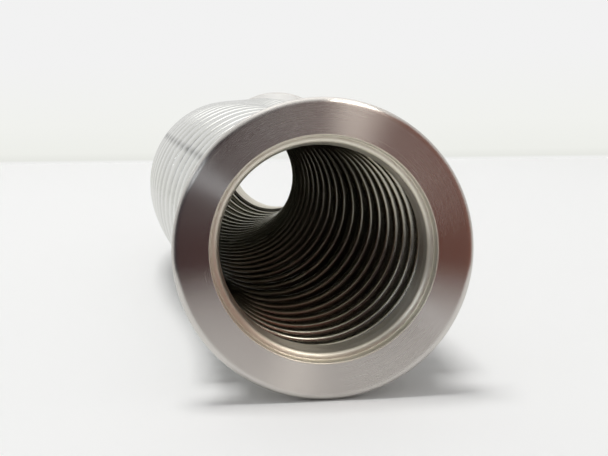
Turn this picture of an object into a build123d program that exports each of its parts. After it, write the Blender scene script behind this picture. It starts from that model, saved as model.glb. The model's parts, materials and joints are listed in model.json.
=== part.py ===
"""Flexible metal vacuum hose: a bent one-piece bellows between two clamp flanges, all sizes in mm.

The hose lies on the plane z = 0 in a gentle double bend. Its front flange looks towards -Y.
Every piece stands on a plane of one chain that runs along the hose from the front flange's face.
"""

import math
import os

from build123d import *

os.makedirs("parts", exist_ok=True)

# Flange, turned: a flat sealing face with a recess for a centring ring, and a tapered back for a clamp.
FLANGE_RADIUS = 27.5
RIM_THICKNESS = 3.0
RIM_CHAMFER = 0.8
CLAMP_TAPER = 15.0
BORE_RADIUS = 19.3
RECESS_STEP = 1.3
RECESS_DEPTH = 3.0
RECESS_EDGE_BREAK = 0.3
TUBE_WALL = 1.1
TUBE_OVERLAP = 3.0
HUB_LENGTH = 1.6

# Bellows, formed from one thin tube: wide folds with narrow grooves between, and a plain cuff at each end.
FOLDS = 32
PITCH = 7.0
CREST_RADIUS = 25.5
GROOVE_WIDTH = 1.4
SHEET = 0.3
CUFF_LENGTH = 4.7
CUFF_CLEARANCE = 0.05

# Weld bead that closes the cuff onto the flange's tube.
BEAD_WIDTH = 1.8
BEAD_HEIGHT = 0.9
BEAD_CLEARANCE = 0.02

# The three bends, from the front: their share of the folds, angle, and side (0 is +X, 90 is up).
BEND_SHARES = (0.29, 0.26, 0.45)
BEND_ANGLES = (13.5, 7.8, 26.3)
BEND_SIDE_ANGLES = (150.3, -28.1, 2.6)

# How the free hose rests on the floor: its front end dips and it leans a little to one side.
FRONT_DIP = 3.65
FRONT_LEAN = 0.4
FRONT_YAW = 0.1

recess_radius = BORE_RADIUS + RECESS_STEP
tube_radius = BORE_RADIUS + TUBE_WALL
hub_start = RIM_THICKNESS + (FLANGE_RADIUS - recess_radius) * math.tan(math.radians(CLAMP_TAPER))
hub_end = hub_start + HUB_LENGTH
cuff_start = hub_end + BEAD_WIDTH + 2 * BEAD_CLEARANCE
cuff_radius = tube_radius + CUFF_CLEARANCE
folds_start = cuff_start + CUFF_LENGTH
root_radius = cuff_radius + SHEET


def turned(plane, turn, side):
    """The plane turned about its own origin towards a side: 0 is its x_dir, 90 is against its y_dir."""
    towards = plane.x_dir * math.cos(math.radians(side)) - plane.y_dir * math.sin(math.radians(side))
    turning = Axis((0, 0, 0), plane.z_dir.cross(towards))
    return Plane(plane.origin, plane.x_dir.rotate(turning, turn), plane.z_dir.rotate(turning, turn))


def bend_at(joint):
    """The turn and the side of the bend between two folds."""
    joints = FOLDS - 1
    last = 0
    for share, angle, side in zip(BEND_SHARES, BEND_ANGLES, BEND_SIDE_ANGLES):
        last += share * joints
        if joint + 0.5 < last:
            break
    return angle / (share * joints), side


def chain(face):
    """Each fold's start plane, the planes that part the folds, and the rear flange's face."""
    starts, cuts = [], []
    plane = face.offset(folds_start)
    for number in range(FOLDS):
        turn, side = bend_at(number - 1) if number else (0, 0)
        cuts.append(turned(plane, turn / 2, side))
        starts.append(turned(plane, turn, side))
        plane = starts[-1].offset(PITCH)
    cuts.append(plane)
    end = plane.offset(folds_start)
    return starts, cuts, Plane(end.origin, -end.x_dir, -end.z_dir)


def reach(circle, direction):
    """How far a circle, given as its plane and radius, reaches along a direction."""
    plane, radius = circle
    lean = plane.z_dir.dot(direction)
    return plane.origin.dot(direction) + radius * math.sqrt(max(1 - lean * lean, 0))


# The front face's plane before the hose is laid down: x_dir to the right, z_dir into the hose.
into = Vector(0, 1, 0).rotate(Axis.X, -FRONT_DIP).rotate(Axis.Z, FRONT_YAW)
rightwards = Vector(1, 0, 0).rotate(Axis.Y, FRONT_LEAN).rotate(Axis.Z, FRONT_YAW)
loose = Plane(Vector(0, 0, 0), rightwards, into)
loose_starts, loose_cuts, loose_rear = chain(loose)

# The circles that bound the hose: the edges of each fold's crest and of both rims.
bounding = [(start.offset(GROOVE_WIDTH / 2), CREST_RADIUS) for start in loose_starts]
bounding += [(start.offset(PITCH - GROOVE_WIDTH / 2), CREST_RADIUS) for start in loose_starts]
for face in (loose, loose_rear):
    bounding.append((face, FLANGE_RADIUS - RIM_CHAMFER))
    bounding.append((face.offset(RIM_CHAMFER), FLANGE_RADIUS))
    bounding.append((face.offset(RIM_THICKNESS), FLANGE_RADIUS))


def far(direction):
    """How far the whole hose reaches along a direction."""
    return max(reach(circle, direction) for circle in bounding)


# The hose is centred over the origin and stands on z = 0.
centre_x = (far(Vector(1, 0, 0)) - far(Vector(-1, 0, 0))) / 2
centre_y = (far(Vector(0, 1, 0)) - far(Vector(0, -1, 0))) / 2
front = Plane(Vector(-centre_x, -centre_y, far(Vector(0, 0, -1))), rightwards, into)
starts, cuts, rear = chain(front)


def lengthwise(plane):
    """The plane through a piece's axis, with its x across and its y along the axis."""
    return Plane(plane.origin, plane.x_dir, -plane.y_dir)


def flange(face):
    """A clamp flange turned about the axis of its face's plane."""
    with BuildPart() as turned_part:
        with BuildSketch(lengthwise(face)):
            with BuildLine():
                Polyline(
                    (BORE_RADIUS, RECESS_DEPTH),
                    (recess_radius, RECESS_DEPTH),
                    (recess_radius, RECESS_EDGE_BREAK),
                    (recess_radius + RECESS_EDGE_BREAK, 0),
                    (FLANGE_RADIUS - RIM_CHAMFER, 0),
                    (FLANGE_RADIUS, RIM_CHAMFER),
                    (FLANGE_RADIUS, RIM_THICKNESS),
                    (recess_radius, hub_start),
                    (tube_radius, hub_end),
                    (tube_radius, cuff_start + TUBE_OVERLAP),
                    (BORE_RADIUS, cuff_start + TUBE_OVERLAP),
                    close=True,
                )
            make_face()
        revolve(axis=Axis(face.origin, face.z_dir))
    return turned_part.part


def weld_bead(face):
    """A low bead round the tube, between the flange's hub and the cuff."""
    low = hub_end + BEAD_CLEARANCE
    with BuildPart() as bead:
        with BuildSketch(lengthwise(face)):
            with BuildLine():
                Polyline(
                    (tube_radius + BEAD_CLEARANCE, low),
                    (tube_radius + BEAD_HEIGHT, low + BEAD_WIDTH / 4),
                    (tube_radius + BEAD_HEIGHT, low + BEAD_WIDTH * 3 / 4),
                    (tube_radius + BEAD_CLEARANCE, low + BEAD_WIDTH),
                    close=True,
                )
            make_face()
        revolve(axis=Axis(face.origin, face.z_dir))
    return bead.part


def cuff(face):
    """The plain end of the bellows, over the flange's tube."""
    with BuildPart() as tube:
        with BuildSketch(face.offset(cuff_start)):
            Circle(root_radius)
            Circle(cuff_radius, mode=Mode.SUBTRACT)
        extrude(amount=CUFF_LENGTH)
    return tube.part


def fold(start, first_cut, last_cut):
    """One fold of the sheet, turned about its own straight axis and trimmed to its neighbours."""
    half_groove = GROOVE_WIDTH / 2
    inner_flank = half_groove + SHEET
    with BuildPart() as ring:
        with BuildSketch(lengthwise(start)):
            with BuildLine():
                Polyline(
                    (root_radius, -half_groove),
                    (root_radius, half_groove),
                    (CREST_RADIUS, half_groove),
                    (CREST_RADIUS, PITCH - half_groove),
                    (root_radius, PITCH - half_groove),
                    (root_radius, PITCH + half_groove),
                    (cuff_radius, PITCH + half_groove),
                    (cuff_radius, PITCH - inner_flank),
                    (CREST_RADIUS - SHEET, PITCH - inner_flank),
                    (CREST_RADIUS - SHEET, inner_flank),
                    (cuff_radius, inner_flank),
                    (cuff_radius, -half_groove),
                    close=True,
                )
            make_face()
        revolve(axis=Axis(start.origin, start.z_dir))
        split(bisect_by=first_cut, keep=Keep.TOP)
        split(bisect_by=last_cut, keep=Keep.BOTTOM)
    return ring.part


pieces = [fold(*ends) for ends in zip(starts, cuts[:-1], cuts[1:])]
with BuildPart() as bellows:
    add(cuff(front))
    add(cuff(rear))
    add(pieces)
bellows.part.label = "bellows"
export_step(bellows.part, "parts/bellows.step")

for name, face in (("front", front), ("rear", rear)):
    clamp_flange = flange(face)
    clamp_flange.label = "flange_" + name
    export_step(clamp_flange, "parts/flange_" + name + ".step")
    bead = weld_bead(face)
    bead.label = "weld_bead_" + name
    export_step(bead, "parts/weld_bead_" + name + ".step")
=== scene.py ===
"""Vacuum bellows hose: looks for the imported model, laid out as a Blender add-on and run as a script."""
import json
import math

import bpy
from bpy.props import FloatProperty, FloatVectorProperty, IntProperty, PointerProperty
from mathutils import Matrix, Quaternion, Vector


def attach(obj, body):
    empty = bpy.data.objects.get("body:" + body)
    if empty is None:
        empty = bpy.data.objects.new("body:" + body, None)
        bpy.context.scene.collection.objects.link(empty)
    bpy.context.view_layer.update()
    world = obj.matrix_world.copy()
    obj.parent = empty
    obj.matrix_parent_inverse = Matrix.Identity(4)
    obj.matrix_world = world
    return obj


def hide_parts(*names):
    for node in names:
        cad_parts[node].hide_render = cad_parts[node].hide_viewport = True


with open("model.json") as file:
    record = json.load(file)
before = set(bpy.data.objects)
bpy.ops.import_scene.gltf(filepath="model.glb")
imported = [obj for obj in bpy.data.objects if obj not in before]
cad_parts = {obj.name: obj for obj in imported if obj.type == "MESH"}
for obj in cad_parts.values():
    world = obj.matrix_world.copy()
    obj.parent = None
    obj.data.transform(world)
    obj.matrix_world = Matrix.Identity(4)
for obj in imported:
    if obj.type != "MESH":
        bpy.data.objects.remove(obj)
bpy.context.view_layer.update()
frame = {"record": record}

bl_info = {
    "name": "Vacuum bellows hose",
    "version": (1, 0, 0),
    "blender": (4, 5, 0),
    "location": "3D View > Sidebar > Hose",
    "description": "Formed bellows, weld beads, turned flanges and a plain studio for a vacuum hose",
    "category": "Object",
}

MM = 0.001
MOUNTS = {mount["name"]: mount for mount in frame["record"]["mounts"]}


# ---------------------------------------------------------------- sizes and colours

class HoseSizes(bpy.types.PropertyGroup):
    """Sizes of the bellows, the clamp flanges and their welds."""
    folds: IntProperty(name="Folds", description="How many folds the bellows has", default=32, min=2)
    pitch: FloatProperty(name="Pitch", description="From one fold to the next",
                         default=7.0 * MM, unit="LENGTH", precision=5)
    folds_start: FloatProperty(name="Folds start", description="From a flange's face to the first groove",
                               default=12.98885 * MM, unit="LENGTH", precision=5)
    cuff_start: FloatProperty(name="Cuff start", description="From a flange's face to the end of the cuff",
                              default=8.28885 * MM, unit="LENGTH", precision=5)
    hub_end: FloatProperty(name="Hub end", description="From a flange's face to the end of its hub",
                           default=6.44885 * MM, unit="LENGTH", precision=5)
    flange_radius: FloatProperty(name="Flange radius", description="Rim of a clamp flange",
                                 default=27.5 * MM, unit="LENGTH", precision=5)
    rim_thickness: FloatProperty(name="Rim thickness", description="Straight part of a flange's rim",
                                 default=3.0 * MM, unit="LENGTH", precision=5)
    rim_edge: FloatProperty(name="Rim edge", description="Rounding between a flange's face and its rim",
                            default=1.15 * MM, unit="LENGTH", precision=5)
    recess_radius: FloatProperty(name="Recess radius", description="Recess for a centring ring",
                                 default=20.6 * MM, unit="LENGTH", precision=5)
    recess_depth: FloatProperty(name="Recess depth", description="Depth of the recess",
                                default=3.0 * MM, unit="LENGTH", precision=5)
    recess_edge: FloatProperty(name="Recess edge", description="Rounding between a flange's face and its recess",
                               default=0.2 * MM, unit="LENGTH", precision=5)
    bore_radius: FloatProperty(name="Bore radius", description="Inside of the flange's tube",
                               default=19.3 * MM, unit="LENGTH", precision=5)
    hub_length: FloatProperty(name="Hub length", description="Slope from the clamp's taper down to the tube",
                              default=1.6 * MM, unit="LENGTH", precision=5)
    weld_line: FloatProperty(name="Inner weld line", description="Low bead inside the bore, from the weld outside",
                             default=9.0 * MM, unit="LENGTH", precision=5)
    tube_overlap: FloatProperty(name="Tube overlap", description="How far the tube goes into the cuff",
                                default=3.0 * MM, unit="LENGTH", precision=5)
    tube_radius: FloatProperty(name="Tube radius", description="Outside of the flange's tube",
                               default=20.4 * MM, unit="LENGTH", precision=5)
    root_radius: FloatProperty(name="Root radius", description="Outside of the sheet at the bottom of a groove",
                               default=20.75 * MM, unit="LENGTH", precision=5)
    crest_radius: FloatProperty(name="Crest radius", description="Outside of the sheet at the top of a fold",
                                default=25.49 * MM, unit="LENGTH", precision=5)
    sheet: FloatProperty(name="Sheet", description="Thickness of the formed sheet",
                         default=0.3 * MM, unit="LENGTH", precision=5)
    around: IntProperty(name="Steps around", description="Corners round each ring of the bellows",
                        default=76, min=16)


class HoseFinish(bpy.types.PropertyGroup):
    """Colours of the hose's finishes."""
    sheet_steel: FloatVectorProperty(name="Sheet steel", description="Bright formed sheet", subtype="COLOR",
                                     size=3, min=0, max=1, default=(0.72, 0.72, 0.69))
    # The inside of the sheet is darker and warmer than the outside: painted shade inside the tube.
    sheet_inside_shade: FloatVectorProperty(name="Sheet inside", description="Duller inside of the formed sheet, darker and warmer as painted shade inside the tube",
                                      subtype="COLOR", size=3, min=0, max=1, default=(0.50, 0.49, 0.42))
    turned_steel: FloatVectorProperty(name="Turned steel", description="Turned flange", subtype="COLOR",
                                      size=3, min=0, max=1, default=(0.70, 0.675, 0.64))
    # Bored steel is lighter and warmer than the turned steel: painted light and a painted warm reflection in the
    # recess and bore, on a duller finish.
    bored_steel_painted_light: FloatVectorProperty(name="Bored steel", description="Recess and bore of a flange, duller, and lighter and warmer as painted light and a painted warm reflection",
                                     subtype="COLOR", size=3, min=0, max=1, default=(0.86, 0.82, 0.71))
    weld: FloatVectorProperty(name="Weld", description="Bead of weld", subtype="COLOR",
                              size=3, min=0, max=1, default=(0.60, 0.57, 0.52))
    heat_tint: FloatVectorProperty(name="Heat tint", description="Straw to brown stain beside a weld",
                                   subtype="COLOR", size=3, min=0, max=1, default=(0.40, 0.30, 0.20))
    seam: FloatVectorProperty(name="Seam", description="Dark smear where the seam crosses a groove",
                              subtype="COLOR", size=3, min=0, max=1, default=(0.10, 0.10, 0.10))


class HoseStudio(bpy.types.PropertyGroup):
    """The camera's place, and the floor, wall and room round the hose."""
    camera_place: FloatVectorProperty(name="Camera place", description="Where the camera stands",
                                      subtype="TRANSLATION", unit="LENGTH", size=3, precision=5,
                                      default=(-12.37 * MM, -310.11 * MM, 56.64 * MM))
    camera_yaw: FloatProperty(name="Camera yaw", description="Turn of the camera towards +X",
                              subtype="ANGLE", default=math.radians(4.36))
    camera_pitch: FloatProperty(name="Camera pitch", description="Dip of the camera below level",
                                subtype="ANGLE", default=math.radians(7.713))
    camera_roll: FloatProperty(name="Camera roll", description="Roll of the camera about its line of sight",
                               subtype="ANGLE", default=math.radians(1.222))
    camera_lens: FloatProperty(name="Camera lens", description="Focal length on a 36 mm wide sensor, in mm",
                               default=61.23, min=1)
    floor_colour: FloatVectorProperty(name="Floor", description="Pale table top", subtype="COLOR",
                                      size=3, min=0, max=1, default=(0.90, 0.90, 0.90))
    wall_colour: FloatVectorProperty(name="Wall", description="Pale wall behind", subtype="COLOR",
                                     size=3, min=0, max=1, default=(0.60, 0.60, 0.59))
    world_light: FloatVectorProperty(name="Light all round", description="Light from all round on matt surfaces",
                                     subtype="COLOR", size=3, min=0, max=1, default=(0.40, 0.40, 0.40))
    world_seen: FloatVectorProperty(name="Backdrop all round", description="Pale backdrop, also in reflections",
                                    subtype="COLOR", size=3, min=0, max=1, default=(0.82, 0.82, 0.81))
    # The dark screen glows with these colours and only polished steel shows it: a painted reflection of a dark, warm
    # room.
    screen_left: FloatVectorProperty(name="Dark screen, left", description="Left part of the dark screen in front",
                                     subtype="COLOR", size=3, min=0, max=1, default=(0.036, 0.026, 0.032))
    screen_right: FloatVectorProperty(name="Dark screen, right", description="Warm right part of the dark screen",
                                      subtype="COLOR", size=3, min=0, max=1, default=(0.24, 0.100, 0.072))


# ---------------------------------------------------------------- the hose's line

# Each bend's share of the hose, how far it turns and to which side, as in the part's source. Angles in degrees.
BENDS = ((0.29, 13.5, 150.3), (0.26, 7.8, -28.1), (0.45, 26.3, 2.6))
# How the front flange leans and turns, in degrees, and the length of one step of the line.
FRONT_LEAN = 0.4
FRONT_YAW = 0.1
LINE_STEP = 0.25 * MM


def face_plane(end):
    """(centre, direction into the hose) of a flange's face, from the record's mounts."""
    face = Vector(MOUNTS["sealing_face_" + end]["pos_m"])
    axis = Vector(MOUNTS["sealing_face_" + end]["axis"]).normalized()
    recess = Vector(MOUNTS["recess_" + end]["pos_m"])
    return recess + axis * (face - recess).dot(axis), -axis


def bend_at(joint, folds):
    """(turn, side) in degrees of the bend between two folds; side 0 is to the right and 90 is up."""
    last = 0
    for share, angle, side in BENDS:
        last += share * (folds - 1)
        if joint + 0.5 < last:
            break
    return angle / (share * (folds - 1)), side


class Line:
    """The hose's centre line as close steps, each with its place and its right, down and onward directions."""

    def __init__(self, sizes):
        centre, onward = face_plane("front")
        lean = Matrix.Rotation(math.radians(FRONT_LEAN), 3, "Y")
        yaw = Matrix.Rotation(math.radians(FRONT_YAW), 3, "Z")
        right = yaw @ lean @ Vector((1, 0, 0))
        right = (right - onward * right.dot(onward)).normalized()
        down = onward.cross(right)
        self.length = 2 * sizes.folds_start + sizes.folds * sizes.pitch
        self.count = math.ceil(self.length / LINE_STEP)
        self.step = self.length / self.count
        self.steps = []
        for number in range(self.count + 1):
            self.steps.append((centre.copy(), right.copy(), down.copy(), onward.copy()))
            middle = (number + 0.5) * self.step
            joint = (middle - sizes.folds_start) / sizes.pitch - 0.5
            centre = centre + onward * self.step
            if 0 <= joint < sizes.folds - 1:
                turn, side = bend_at(int(joint), sizes.folds)
                towards = right * math.cos(math.radians(side)) - down * math.sin(math.radians(side))
                angle = math.radians(turn) * self.step / sizes.pitch
                turning = Quaternion(onward.cross(towards), angle)
                for direction in (right, down, onward):
                    direction.rotate(turning)
        rear, _ = face_plane("rear")
        if (centre - rear).length > 0.3 * MM:
            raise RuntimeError(f"the line ends {(centre - rear).length / MM:.2f} mm from the rear face")

    def at(self, along):
        """(centre, right, down) at a distance from the front face."""
        place = min(max(along / self.step, 0), self.count - 1e-6)
        number = int(place)
        share = place - number
        here, after = self.steps[number], self.steps[number + 1]
        return [a.lerp(b, share) for a, b in zip(here[:3], after[:3])]


def ring(line, along, radius, around):
    """Corners of a ring about the line; the first is to the right and they go round by way of down."""
    centre, right, down = line.at(along)
    corners = []
    for number in range(around):
        angle = math.tau * number / around
        corners.append(centre + (right * math.cos(angle) + down * math.sin(angle)) * radius)
    return corners


def swept(name, line, profile, around, wobble=None):
    """A closed ring-shaped mesh: a closed profile of (along, radius) points carried round the line."""
    corners, faces = [], []
    for number, (along, radius) in enumerate(profile):
        loop = ring(line, along, radius, around)
        if wobble:
            centre = line.at(along)[0]
            loop = [centre + (c - centre) * (1 + wobble(number, k) / radius) for k, c in enumerate(loop)]
        corners.extend(loop)
    rows = len(profile)
    for row in range(rows):
        following = (row + 1) % rows
        for k in range(around):
            after = (k + 1) % around
            faces.append((row * around + k, row * around + after,
                          following * around + after, following * around + k))
    mesh = bpy.data.meshes.new(name)
    mesh.from_pydata(corners, [], faces)
    mesh.update()
    mesh.shade_smooth()
    piece = bpy.data.objects.new(name, mesh)
    bpy.context.scene.collection.objects.link(piece)
    return piece


def rounded(corners, arc_steps=7):
    """A closed profile of (along, radius, rounding) corners, each rounded, with a close step beside each arc."""
    points = []
    for number, (along, radius, rounding) in enumerate(corners):
        corner = Vector((along, radius))
        before = Vector(corners[number - 1][:2]) - corner
        after = Vector(corners[(number + 1) % len(corners)][:2]) - corner
        half = before.angle(after) / 2
        reach = rounding / math.tan(half)
        start, end = corner + before.normalized() * reach, corner + after.normalized() * reach
        centre = corner + (before.normalized() + after.normalized()).normalized() * (rounding / math.sin(half))
        points.append(tuple(start + before.normalized() * (0.25 * rounding)))
        for step in range(arc_steps + 1):
            share = step / arc_steps
            turn = (start - centre).angle_signed(end - centre) * share
            arm = start - centre
            points.append(tuple(centre + Vector((arm.x * math.cos(turn) + arm.y * math.sin(turn),
                                                 arm.y * math.cos(turn) - arm.x * math.sin(turn)))))
        points.append(tuple(end + after.normalized() * (0.25 * rounding)))
    return points


def mark(piece, name, values):
    """Stores one number per corner point under a name, for the material to read."""
    attribute = piece.data.attributes.new(name, "FLOAT", "POINT")
    attribute.data.foreach_set("value", values)


# ---------------------------------------------------------------- the bellows

# Half of one fold's outer side: distance from the middle of the groove, as shares of the pitch, and height
# as a share of the fold's depth.
FOLD_OUTLINE = (
    (0.000, 0.000), (0.048, 0.016), (0.082, 0.062), (0.098, 0.140), (0.101, 0.420), (0.103, 0.720),
    (0.118, 0.860), (0.158, 0.945), (0.228, 0.985), (0.340, 0.998), (0.500, 1.000),
)


def outer_outline(sizes):
    """(along, radius) points of the bellows' outer side, from cuff to cuff."""
    depth = sizes.crest_radius - sizes.root_radius
    points = [(sizes.cuff_start, sizes.root_radius),
              ((sizes.cuff_start + sizes.folds_start) / 2, sizes.root_radius)]
    for fold in range(sizes.folds):
        start = sizes.folds_start + fold * sizes.pitch
        half = [(start + share * sizes.pitch, sizes.root_radius + height * depth)
                for share, height in FOLD_OUTLINE]
        points.extend(half)
        points.extend((2 * start + sizes.pitch - along, radius) for along, radius in reversed(half[1:-1]))
    end = 2 * sizes.folds_start + sizes.folds * sizes.pitch
    points.append((end - sizes.folds_start, sizes.root_radius))
    points.append((end - (sizes.cuff_start + sizes.folds_start) / 2, sizes.root_radius))
    points.append((end - sizes.cuff_start, sizes.root_radius))
    return points


def inner_outline(outer, sheet):
    """The outer outline moved in by the sheet's thickness, square to itself."""
    points = []
    for number, (along, radius) in enumerate(outer):
        before = outer[max(number - 1, 0)]
        after = outer[min(number + 1, len(outer) - 1)]
        run, rise = after[0] - before[0], after[1] - before[1]
        long = math.hypot(run, rise)
        if number in (0, len(outer) - 1):
            points.append((along, radius - sheet))
        else:
            points.append((along + sheet * rise / long, radius - sheet * run / long))
    return points


# Where the tube's seam runs, and how far its mark spreads to each side, both in degrees round the hose.
SEAM_ANGLE = -142.3
SEAM_REACH = 3.2


def sheet_material(name, colour, finish, inside):
    """Bright formed sheet: drawn marks round the folds, a tone for each fold, and the seam's smears."""
    material, add, link, out = new_material(name)
    shader = add("ShaderNodeBsdfPrincipled", (300, 0))
    shader.inputs["Metallic"].default_value = 1.0
    around = add("ShaderNodeAttribute", (-1500, 200))
    around.attribute_name = "around"
    along = add("ShaderNodeAttribute", (-1500, 0))
    along.attribute_name = "along"
    place = add("ShaderNodeTexCoord", (-1500, -300))

    # Long fine marks that follow the folds round: noise stretched by crowding it along the hose.
    lay = add("ShaderNodeCombineXYZ", (-1250, 100))
    link(math_node(add, link, "MULTIPLY", along.outputs["Fac"], 9000.0, (-1400, 100)), lay.inputs["X"])
    link(math_node(add, link, "SINE", around.outputs["Fac"], None, (-1400, 260)), lay.inputs["Y"])
    link(math_node(add, link, "COSINE", around.outputs["Fac"], None, (-1400, 360)), lay.inputs["Z"])
    marks = add("ShaderNodeTexNoise", (-1050, 100))
    marks.inputs["Scale"].default_value = 1.6
    marks.inputs["Detail"].default_value = 5.0
    link(lay.outputs["Vector"], marks.inputs["Vector"])

    clouds = add("ShaderNodeTexNoise", (-1050, -200))
    clouds.inputs["Scale"].default_value = 90.0
    clouds.inputs["Detail"].default_value = 4.0
    link(place.outputs["Object"], clouds.inputs["Vector"])

    # One tone for each fold.
    number = math_node(add, link, "FLOOR", math_node(add, link, "MULTIPLY_ADD", along.outputs["Fac"],
                       (1 / bpy.context.scene.hose_sizes.pitch,
                        -bpy.context.scene.hose_sizes.folds_start / bpy.context.scene.hose_sizes.pitch),
                       (-1250, -450)), None, (-1100, -450))
    each = add("ShaderNodeTexWhiteNoise", (-900, -450))
    each.noise_dimensions = "1D"
    link(number, each.inputs["W"])

    tone = math_node(add, link, "MULTIPLY_ADD", each.outputs["Value"], (0.08, 0.90), (-700, -450))
    tone = math_node(add, link, "ADD", tone,
                     math_node(add, link, "MULTIPLY_ADD", marks.outputs["Fac"], (0.16, -0.08), (-850, 100)),
                     (-550, -200))
    shade = add("ShaderNodeVectorMath", (-350, 0))
    shade.operation = "SCALE"
    shade.inputs[0].default_value = colour
    link(tone, shade.inputs["Scale"])
    base = shade.outputs["Vector"]

    if not inside:
        # The seam of the tube: a dark smear where it crosses each groove, and a faint line over the crests.
        seam = add("ShaderNodeAttribute", (-1500, 600))
        seam.attribute_name = "seam"
        off = math_node(add, link, "ABSOLUTE",
                        math_node(add, link, "SUBTRACT", around.outputs["Fac"],
                                  math.radians(SEAM_ANGLE) % math.tau, (-1250, 800)), None, (-1100, 800))
        near = math_node(add, link, "MULTIPLY_ADD", off, (-1 / math.radians(SEAM_REACH), 1.0), (-950, 800),
                         clamp=True)
        near = math_node(add, link, "MULTIPLY", near, seam.outputs["Fac"], (-800, 700))
        smear = math_node(add, link, "MULTIPLY", near,
                          math_node(add, link, "MULTIPLY_ADD", clouds.outputs["Fac"], (1.6, 0.1), (-850, 600)),
                          (-650, 600), clamp=True)
        mix = add("ShaderNodeMix", (-100, 200))
        mix.data_type = "RGBA"
        link(smear, mix.inputs["Factor"])
        link(base, mix.inputs["A"])
        mix.inputs["B"].default_value = (*finish.seam, 1.0)
        base = mix.outputs["Result"]
    link(base, shader.inputs["Base Color"])

    rough = math_node(add, link, "MULTIPLY_ADD", marks.outputs["Fac"],
                      (0.08, 0.17 if inside else 0.16), (-350, -300))
    rough = math_node(add, link, "ADD", rough,
                      math_node(add, link, "MULTIPLY", clouds.outputs["Fac"], 0.08, (-550, -350)), (-150, -300))
    link(rough, shader.inputs["Roughness"])

    bump = add("ShaderNodeBump", (50, -500))
    bump.inputs["Strength"].default_value = 0.10
    bump.inputs["Distance"].default_value = 0.05 * MM
    link(marks.outputs["Fac"], bump.inputs["Height"])
    link(bump.outputs["Normal"], shader.inputs["Normal"])
    link(shader.outputs["BSDF"], out.inputs["Surface"])
    return material


# ---------------------------------------------------------------- node helpers

def new_material(name):
    """(material, add node, link sockets, output node) of a new empty node material."""
    material = bpy.data.materials.new(name)
    material.use_nodes = True
    tree = material.node_tree
    tree.nodes.clear()
    out = tree.nodes.new("ShaderNodeOutputMaterial")
    out.location = (600, 0)

    def add(kind, location):
        node = tree.nodes.new(kind)
        node.location = location
        return node

    return material, add, tree.links.new, out


def math_node(add, link, operation, first, second, location, clamp=False):
    """The output of a Math node: second is a socket, a number, a pair of numbers or nothing."""
    node = add("ShaderNodeMath", location)
    node.operation = operation
    node.use_clamp = clamp
    link(first, node.inputs[0])
    if isinstance(second, tuple):
        for socket, value in zip(node.inputs[1:], second):
            socket.default_value = value
    elif isinstance(second, (int, float)):
        node.inputs[1].default_value = second
    elif second is not None:
        link(second, node.inputs[1])
    return node.outputs["Value"]


def seen_rays(add, link):
    """1 where a ray comes from the camera, from gloss or through glass, which all see the backdrop; else 0."""
    path = add("ShaderNodeLightPath", (-900, 600))
    seen = path.outputs["Is Camera Ray"]
    for step, ray in enumerate(("Is Glossy Ray", "Is Transmission Ray")):
        either = add("ShaderNodeMath", (-700 + 200 * step, 600))
        either.operation = "MAXIMUM"
        link(seen, either.inputs[0])
        link(path.outputs[ray], either.inputs[1])
        seen = either.outputs["Value"]
    return seen


# ---------------------------------------------------------------- flanges and welds

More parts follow.
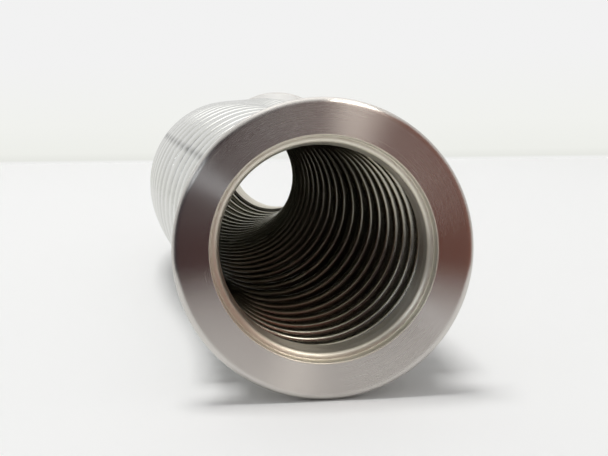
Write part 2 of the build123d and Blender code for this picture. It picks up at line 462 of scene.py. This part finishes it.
def turned_material(name, end, colour, roughness, spread):
    """Turned steel: rings of tool marks about the flange's own axis, with the sheen that they spread."""
    centre, axis = face_plane(end)
    material, add, link, out = new_material(name)
    shader = add("ShaderNodeBsdfPrincipled", (300, 0))
    shader.inputs["Metallic"].default_value = 1.0
    shader.inputs["Anisotropic"].default_value = spread
    place = add("ShaderNodeTexCoord", (-1700, 0))
    offset = add("ShaderNodeVectorMath", (-1500, 0))
    offset.operation = "SUBTRACT"
    link(place.outputs["Object"], offset.inputs[0])
    offset.inputs[1].default_value = centre
    round_about = add("ShaderNodeVectorMath", (-1300, 0))
    round_about.operation = "CROSS_PRODUCT"
    link(offset.outputs["Vector"], round_about.inputs[0])
    round_about.inputs[1].default_value = axis
    radius = add("ShaderNodeVectorMath", (-1100, 100))
    radius.operation = "LENGTH"
    link(round_about.outputs["Vector"], radius.inputs[0])
    # Sheen spreads across the tool marks, so its direction lies in the surface and square to them.
    surface = add("ShaderNodeNewGeometry", (-1300, -500))
    across = add("ShaderNodeVectorMath", (-1100, -400))
    across.operation = "CROSS_PRODUCT"
    link(surface.outputs["Normal"], across.inputs[0])
    link(round_about.outputs["Vector"], across.inputs[1])
    tangent = add("ShaderNodeVectorMath", (-900, -400))
    tangent.operation = "NORMALIZE"
    link(across.outputs["Vector"], tangent.inputs[0])
    link(tangent.outputs["Vector"], shader.inputs["Tangent"])
    depth = add("ShaderNodeVectorMath", (-1100, 300))
    depth.operation = "DOT_PRODUCT"
    link(offset.outputs["Vector"], depth.inputs[0])
    depth.inputs[1].default_value = axis

    # Tool marks: noise that depends on radius and depth, with a slow drift round the flange.
    lay = add("ShaderNodeCombineXYZ", (-900, 100))
    link(math_node(add, link, "MULTIPLY", radius.outputs["Value"], 7000.0, (-1000, 60)), lay.inputs["X"])
    link(math_node(add, link, "MULTIPLY", depth.outputs["Value"], 7000.0, (-1000, 220)), lay.inputs["Y"])
    marks = add("ShaderNodeTexNoise", (-700, 100))
    marks.inputs["Scale"].default_value = 1.0
    marks.inputs["Detail"].default_value = 4.0
    link(lay.outputs["Vector"], marks.inputs["Vector"])
    smudge = add("ShaderNodeTexNoise", (-700, -200))
    smudge.inputs["Scale"].default_value = 60.0
    smudge.inputs["Detail"].default_value = 5.0
    link(place.outputs["Object"], smudge.inputs["Vector"])

    tone = math_node(add, link, "MULTIPLY_ADD", marks.outputs["Fac"], (0.14, 0.88), (-450, 100))
    tone = math_node(add, link, "ADD", tone,
                     math_node(add, link, "MULTIPLY_ADD", smudge.outputs["Fac"], (0.12, -0.06), (-450, -100)),
                     (-250, 50))
    shade = add("ShaderNodeVectorMath", (0, 50))
    shade.operation = "SCALE"
    shade.inputs[0].default_value = colour
    link(tone, shade.inputs["Scale"])
    link(shade.outputs["Vector"], shader.inputs["Base Color"])

    rough = math_node(add, link, "MULTIPLY_ADD", marks.outputs["Fac"], (0.08, roughness - 0.08), (-250, -250))
    rough = math_node(add, link, "ADD", rough,
                      math_node(add, link, "MULTIPLY", smudge.outputs["Fac"], 0.08, (-450, -350)), (-50, -250))
    link(rough, shader.inputs["Roughness"])
    bump = add("ShaderNodeBump", (50, -500))
    bump.inputs["Strength"].default_value = 0.08
    bump.inputs["Distance"].default_value = 0.02 * MM
    link(marks.outputs["Fac"], bump.inputs["Height"])
    link(bump.outputs["Normal"], shader.inputs["Normal"])
    link(shader.outputs["BSDF"], out.inputs["Surface"])
    return material


def weld_material(finish):
    """Weld bead: bright ripples with straw and brown heat tint in patches."""
    material, add, link, out = new_material("weld_bead_metal")
    shader = add("ShaderNodeBsdfPrincipled", (300, 0))
    shader.inputs["Metallic"].default_value = 1.0
    place = add("ShaderNodeTexCoord", (-900, 0))
    patches = add("ShaderNodeTexNoise", (-700, 0))
    patches.inputs["Scale"].default_value = 220.0
    patches.inputs["Detail"].default_value = 6.0
    link(place.outputs["Object"], patches.inputs["Vector"])
    ramp = add("ShaderNodeValToRGB", (-450, 0))
    ramp.color_ramp.elements[0].position = 0.35
    ramp.color_ramp.elements[0].color = (*finish.heat_tint, 1)
    ramp.color_ramp.elements[1].position = 0.60
    ramp.color_ramp.elements[1].color = (*finish.weld, 1)
    link(patches.outputs["Fac"], ramp.inputs["Fac"])
    link(ramp.outputs["Color"], shader.inputs["Base Color"])
    link(math_node(add, link, "MULTIPLY_ADD", patches.outputs["Fac"], (0.25, 0.22), (-200, -200)),
         shader.inputs["Roughness"])
    bump = add("ShaderNodeBump", (50, -400))
    bump.inputs["Strength"].default_value = 0.25
    bump.inputs["Distance"].default_value = 0.05 * MM
    link(patches.outputs["Fac"], bump.inputs["Height"])
    link(bump.outputs["Normal"], shader.inputs["Normal"])
    link(shader.outputs["BSDF"], out.inputs["Surface"])
    return material


# ---------------------------------------------------------------- operators

class HOSE_OT_bellows(bpy.types.Operator):
    """Form the bellows from one sheet, with rounded folds and a plain cuff at each end"""
    bl_idname = "hose.bellows"
    bl_label = "Bellows"

    def execute(self, context):
        sizes, finish = context.scene.hose_sizes, context.scene.hose_finish
        line = Line(sizes)
        outer = outer_outline(sizes)
        inner = inner_outline(outer, sizes.sheet)
        profile = outer + inner[::-1]
        piece = swept("bellows_sheet", line, profile, sizes.around)
        around, along, seam = [], [], []
        depth = sizes.crest_radius - sizes.root_radius
        for step, radius in profile:
            height = max((radius - sizes.root_radius) / depth, 0)
            for number in range(sizes.around):
                around.append(math.tau * number / sizes.around)
                along.append(step)
                seam.append(1.0 - 0.55 * height ** 4)
        mark(piece, "around", around)
        mark(piece, "along", along)
        mark(piece, "seam", seam)
        piece.data.materials.append(sheet_material("formed_sheet_outside", finish.sheet_steel, finish, False))
        # The inside of the sheet gets the darker inside colour, which is painted shade inside the tube.
        piece.data.materials.append(sheet_material("formed_sheet_inside", finish.sheet_inside_shade, finish, True))
        first_inside = len(outer) * sizes.around
        for face in piece.data.polygons:
            face.material_index = int(face.vertices[0] >= first_inside)
        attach(piece, "root")
        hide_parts("bellows")
        return {"FINISHED"}


class HOSE_OT_weld_beads(bpy.types.Operator):
    """Lay a rippled bead of weld between each flange's hub and the cuff"""
    bl_idname = "hose.weld_beads"
    bl_label = "Weld beads"

    def execute(self, context):
        sizes, finish = context.scene.hose_sizes, context.scene.hose_finish
        line = Line(sizes)
        material = weld_material(finish)
        gap = 0.02 * MM
        width = sizes.cuff_start - sizes.hub_end - 2 * gap
        ripples, around = 84, 336
        bead_height, ripple_height = 0.80 * MM, 0.07 * MM
        for end in ("front", "rear"):
            profile = []
            for number in range(11):
                angle = math.pi * number / 10
                along = sizes.hub_end + gap + width * (0.5 - 0.5 * math.cos(angle))
                profile.append((along, sizes.tube_radius + gap + bead_height * math.sin(angle) ** 0.8))
            if end == "rear":
                profile = [(line.length - along, radius) for along, radius in reversed(profile)]

            def ripple(row, step, rows=len(profile)):
                """Each ripple bulges in the middle of the bead and lags at its sides."""
                across = row / (rows - 1) * 2 - 1
                phase = step * ripples / around + 0.35 * across * across
                return ripple_height * (1 - across * across) * math.cos(math.tau * phase)

            piece = swept("weld_bead_" + end + "_rippled", line, profile, around, ripple)
            piece.data.materials.append(material)
            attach(piece, "root")
            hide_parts("weld_bead_" + end)
        return {"FINISHED"}


# Corners round each ring of a flange.
FLANGE_STEPS = 256


class HOSE_OT_flanges(bpy.types.Operator):
    """Turn the clamp flanges, with every edge broken or rounded as a lathe leaves it"""
    bl_idname = "hose.flanges"
    bl_label = "Flanges"

    def execute(self, context):
        sizes, finish = context.scene.hose_sizes, context.scene.hose_finish
        line = Line(sizes)
        hub_start = sizes.hub_end - sizes.hub_length
        tube_end = sizes.cuff_start + sizes.tube_overlap
        throat = sizes.recess_radius - sizes.bore_radius
        corners = (
            (sizes.recess_depth, sizes.bore_radius, 0.80 * throat),
            (sizes.recess_depth, sizes.recess_radius, 0.15 * MM),
            (0, sizes.recess_radius, sizes.recess_edge),
            (0, sizes.flange_radius, sizes.rim_edge),
            (sizes.rim_thickness, sizes.flange_radius, 0.30 * MM),
            (hub_start, sizes.recess_radius, 0.60 * MM),
            (sizes.hub_end, sizes.tube_radius, 0.40 * MM),
            (tube_end, sizes.tube_radius, 0.15 * MM),
            (tube_end, sizes.bore_radius, 0.15 * MM),
            (sizes.weld_line + 1.1 * MM, sizes.bore_radius, 0.50 * MM),
            (sizes.weld_line, sizes.bore_radius - 0.28 * MM, 0.60 * MM),
            (sizes.weld_line - 1.1 * MM, sizes.bore_radius, 0.40 * MM),
            (sizes.weld_line - 1.7 * MM, sizes.bore_radius + 0.14 * MM, 0.25 * MM),
            (sizes.weld_line - 2.3 * MM, sizes.bore_radius, 0.25 * MM),
        )
        front_profile = rounded(corners)
        points_each = len(front_profile) // len(corners)
        # Rows of the profile that each finish covers, by its number on the mesh; the face keeps finish 0.
        outside_from, inside_from = int(3.6 * points_each), int(8.5 * points_each)
        finish_rows = {
            1: range(3 * points_each - 1),
            2: range(inside_from, len(front_profile)),
            3: range(outside_from, inside_from),
        }
        for end in ("front", "rear"):
            profile = front_profile
            if end == "rear":
                profile = [(line.length - along, radius) for along, radius in reversed(front_profile)]
            piece = swept("flange_" + end + "_turned", line, profile, FLANGE_STEPS)
            piece.data.materials.append(turned_material("turned_steel_" + end, end, finish.turned_steel, 0.26, 1.0))
            # The recess and bore take the lighter, warmer bored colour: painted light and a painted warm reflection,
            # on a duller finish.
            piece.data.materials.append(turned_material("recess_steel_painted_light_" + end, end, finish.bored_steel_painted_light, 0.42, 0.6))
            piece.data.materials.append(turned_material("bored_steel_painted_light_" + end, end, finish.bored_steel_painted_light, 0.34, 0.9))
            piece.data.materials.append(turned_material("rim_steel_" + end, end, finish.turned_steel, 0.44, 0.3))
            for face in piece.data.polygons:
                row = face.index // FLANGE_STEPS
                if end == "rear":
                    row = (len(profile) - 2 - row) % len(profile)
                face.material_index = next((number for number, rows in finish_rows.items() if row in rows), 0)
            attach(piece, "root")
            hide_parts("flange_" + end)
        return {"FINISHED"}


# Height up the wall in metres, and the wall's tone there; the dark tone 2.5 mm up is painted shade where the wall
# meets the floor.
WALL_TONES_AND_SHADE = (
    (0.0000, (0.900, 0.900, 0.895)), (0.0025, (0.800, 0.808, 0.768)), (0.0080, (0.855, 0.863, 0.823)),
    (0.0300, (0.879, 0.885, 0.855)), (0.0800, (0.887, 0.887, 0.887)),
)


class HOSE_OT_stage(bpy.types.Operator):
    """Set up the floor, the wall, the lamps, the room and the camera"""
    bl_idname = "hose.stage"
    bl_label = "Stage"

    def execute(self, context):
        studio = context.scene.hose_studio
        context.scene.view_settings.view_transform = "Standard"
        self.slab("table_top", (-1.6, -1.2, 0), (3.2, 0, 0), (0, 2.1, 0), studio.floor_colour)
        wall = self.slab("back_wall", (-1.0, 0.735, -0.2), (2.0, -0.45, 0), (0, 0, 1.6), studio.wall_colour)
        self.wall_finish(wall)
        self.world(context, studio)
        self.screen(studio)
        overhead = self.lamp("overhead_lamp", (-0.34, 0.05, 2.5), (0, 0, 0), 0.80, 38.5, (1.0, 1.0, 0.99))
        overhead.visible_glossy = False
        self.lamp("panel_lamp", (-0.10, 0.30, 1.1), (0, 0, 0), 1.0, 3.6, (1.0, 1.0, 1.0), True)
        self.lamp("ceiling_lamp", (0.36, -0.74, 0.87), (0, -0.127, 0.03), 0.34, 3.6, (1.0, 0.94, 0.87), True)
        self.lamp("window_lamp", (-0.75, -0.85, 0.52), (0, -0.127, 0.03), 0.16, 1.6, (0.88, 0.94, 1.0), True)
        self.camera(context, studio)
        return {"FINISHED"}

    def slab(self, name, corner, first, second, colour):
        """A flat pale sheet of the stage, from a corner and its two sides."""
        corner, first, second = Vector(corner), Vector(first), Vector(second)
        mesh = bpy.data.meshes.new(name)
        mesh.from_pydata([corner, corner + first, corner + first + second, corner + second], [], [(0, 1, 2, 3)])
        piece = bpy.data.objects.new(name, mesh)
        bpy.context.scene.collection.objects.link(piece)
        material, add, link, out = new_material(name + "_paint")
        shader = add("ShaderNodeBsdfPrincipled", (300, 0))
        shader.inputs["Base Color"].default_value = (*colour, 1)
        shader.inputs["Roughness"].default_value = 0.6
        shader.inputs["Specular IOR Level"].default_value = 0.15
        link(shader.outputs["BSDF"], out.inputs["Surface"])
        mesh.materials.append(material)
        return piece

    def world(self, context, studio):
        """A pale backdrop to look at and in reflections, and a gentler light from all round."""
        world = bpy.data.worlds.new("studio")
        context.scene.world = world
        world.use_nodes = True
        tree = world.node_tree

        def add(kind, location):
            node = tree.nodes.new(kind)
            node.location = location
            return node

        mix = add("ShaderNodeMix", (-200, 300))
        mix.data_type = "RGBA"
        tree.links.new(seen_rays(add, tree.links.new), mix.inputs["Factor"])
        mix.inputs["A"].default_value = (*studio.world_light, 1)
        mix.inputs["B"].default_value = (*studio.world_seen, 1)
        tree.links.new(mix.outputs["Result"], tree.nodes["Background"].inputs["Color"])

    def wall_finish(self, wall):
        """Paints the wall: seen at its own pale tones, a little creamy low down, with a soft line of painted shade
        where it meets the floor.
        """
        material = wall.data.materials[0]
        tree = material.node_tree

        def add(kind, location):
            node = tree.nodes.new(kind)
            node.location = location
            return node

        link = tree.links.new
        place = add("ShaderNodeTexCoord", (-1200, 0))
        parts = add("ShaderNodeSeparateXYZ", (-1000, 0))
        link(place.outputs["Object"], parts.inputs["Vector"])
        rise = add("ShaderNodeMapRange", (-800, 0))
        rise.inputs["From Max"].default_value = WALL_TONES_AND_SHADE[-1][0]
        link(parts.outputs["Z"], rise.inputs["Value"])
        ramp = add("ShaderNodeValToRGB", (-600, 0))
        stops = ramp.color_ramp.elements
        while len(stops) < len(WALL_TONES_AND_SHADE):
            stops.new(0.5)
        for stop, (height, colour) in zip(stops, WALL_TONES_AND_SHADE):
            stop.position = height / WALL_TONES_AND_SHADE[-1][0]
            stop.color = (*colour, 1)
        link(rise.outputs["Result"], ramp.inputs["Fac"])
        glow = add("ShaderNodeEmission", (300, -300))
        link(ramp.outputs["Color"], glow.inputs["Color"])
        mix = add("ShaderNodeMixShader", (500, 0))
        link(seen_rays(add, link), mix.inputs["Fac"])
        link(tree.nodes["Principled BSDF"].outputs["BSDF"], mix.inputs[1])
        link(glow.outputs["Emission"], mix.inputs[2])
        # The wall has one side: from behind it is clear, so that the hose can be looked at from there too.
        side = add("ShaderNodeNewGeometry", (500, 300))
        clear = add("ShaderNodeBsdfTransparent", (500, -200))
        one_sided = add("ShaderNodeMixShader", (700, 0))
        link(side.outputs["Backfacing"], one_sided.inputs["Fac"])
        link(mix.outputs["Shader"], one_sided.inputs[1])
        link(clear.outputs["BSDF"], one_sided.inputs[2])
        link(one_sided.outputs["Shader"], tree.nodes["Material Output"].inputs["Surface"])

    def screen(self, studio):
        """A curved dark screen in front of the hose, which only polished steel shows: it glows with its own colours,
        a painted reflection of a dark, warm room.
        """
        steps, radius, low, high = 24, 0.15, 0.001, 0.20
        reach = 78  # degrees to each side of straight ahead
        corners = []
        for height in (low, high):
            for step in range(steps + 1):
                turn = math.radians(-reach + 2 * reach * step / steps)
                corners.append((radius * math.sin(turn), -0.13 - radius * math.cos(turn), height))
        faces = [(k, k + 1, steps + 2 + k, steps + 1 + k) for k in range(steps)]
        mesh = bpy.data.meshes.new("dark_screen")
        mesh.from_pydata(corners, [], faces)
        piece = bpy.data.objects.new("dark_screen", mesh)
        bpy.context.scene.collection.objects.link(piece)
        material, add, link, out = new_material("dark_screen_painted_reflection")
        place = add("ShaderNodeTexCoord", (-700, 0))
        parts = add("ShaderNodeSeparateXYZ", (-500, 0))
        link(place.outputs["Object"], parts.inputs["Vector"])
        towards_right = add("ShaderNodeMapRange", (-300, 0))
        towards_right.interpolation_type = "SMOOTHSTEP"
        towards_right.inputs["From Min"].default_value = -0.03
        towards_right.inputs["From Max"].default_value = 0.10
        link(parts.outputs["X"], towards_right.inputs["Value"])
        mix = add("ShaderNodeMix", (-100, 0))
        mix.data_type = "RGBA"
        link(towards_right.outputs["Result"], mix.inputs["Factor"])
        mix.inputs["A"].default_value = (*studio.screen_left, 1)
        mix.inputs["B"].default_value = (*studio.screen_right, 1)
        # Painted reflection: the screen glows with these colours, and only reflections see it.
        glow = add("ShaderNodeEmission", (200, 0))
        link(mix.outputs["Result"], glow.inputs["Color"])
        link(glow.outputs["Emission"], out.inputs["Surface"])
        mesh.materials.append(material)
        piece.visible_camera = piece.visible_diffuse = piece.visible_shadow = False

    def lamp(self, name, place, target, size, power, colour, glint=False):
        """A square soft lamp that points at a place; a glint is a lamp that only steel shows."""
        data = bpy.data.lights.new(name, "AREA")
        data.energy, data.size, data.color = power, size, colour
        lamp = bpy.data.objects.new(name, data)
        lamp.location = place
        lamp.rotation_euler = (Vector(target) - Vector(place)).to_track_quat("-Z", "Y").to_euler()
        lamp.visible_camera = False
        lamp.visible_diffuse = not glint
        bpy.context.scene.collection.objects.link(lamp)
        return lamp

    def camera(self, context, studio):
        """The camera, from its place, its yaw, pitch and roll, and its lens."""
        yaw, pitch, roll = studio.camera_yaw, studio.camera_pitch, studio.camera_roll
        onward = Vector((math.sin(yaw) * math.cos(pitch), math.cos(yaw) * math.cos(pitch), -math.sin(pitch)))
        level = Vector((math.cos(yaw), -math.sin(yaw), 0))
        down = onward.cross(level)
        right = level * math.cos(roll) + down * math.sin(roll)
        down = down * math.cos(roll) - level * math.sin(roll)
        data = bpy.data.cameras.new("camera")
        data.lens = studio.camera_lens
        data.sensor_width = 36.0
        data.clip_start, data.clip_end = 0.005, 20.0
        camera = bpy.data.objects.new("camera", data)
        directions = Matrix((right, -down, -onward)).transposed().to_4x4()
        camera.matrix_world = Matrix.Translation(studio.camera_place) @ directions
        context.scene.collection.objects.link(camera)
        context.scene.camera = camera


class HOSE_PT_panel(bpy.types.Panel):
    """The hose's pieces, sizes and colours"""
    bl_label = "Vacuum bellows hose"
    bl_idname = "HOSE_PT_panel"
    bl_space_type = "VIEW_3D"
    bl_region_type = "UI"
    bl_category = "Hose"

    def draw(self, context):
        for group in (context.scene.hose_sizes, context.scene.hose_finish, context.scene.hose_studio):
            box = self.layout.box()
            for name in group.__annotations__:
                box.prop(group, name)
        for operator in OPERATORS:
            self.layout.operator(operator.bl_idname)


OPERATORS = (HOSE_OT_bellows, HOSE_OT_weld_beads, HOSE_OT_flanges, HOSE_OT_stage)
CLASSES = (HoseSizes, HoseFinish, HoseStudio, *OPERATORS, HOSE_PT_panel)


def register():
    for each in CLASSES:
        bpy.utils.register_class(each)
    bpy.types.Scene.hose_sizes = PointerProperty(type=HoseSizes)
    bpy.types.Scene.hose_finish = PointerProperty(type=HoseFinish)
    bpy.types.Scene.hose_studio = PointerProperty(type=HoseStudio)


def unregister():
    del bpy.types.Scene.hose_sizes
    del bpy.types.Scene.hose_finish
    del bpy.types.Scene.hose_studio
    for each in reversed(CLASSES):
        bpy.utils.unregister_class(each)


def main():
    register()
    bpy.ops.hose.bellows()
    bpy.ops.hose.weld_beads()
    bpy.ops.hose.flanges()
    bpy.ops.hose.stage()


if __name__ == "__main__":
    main()
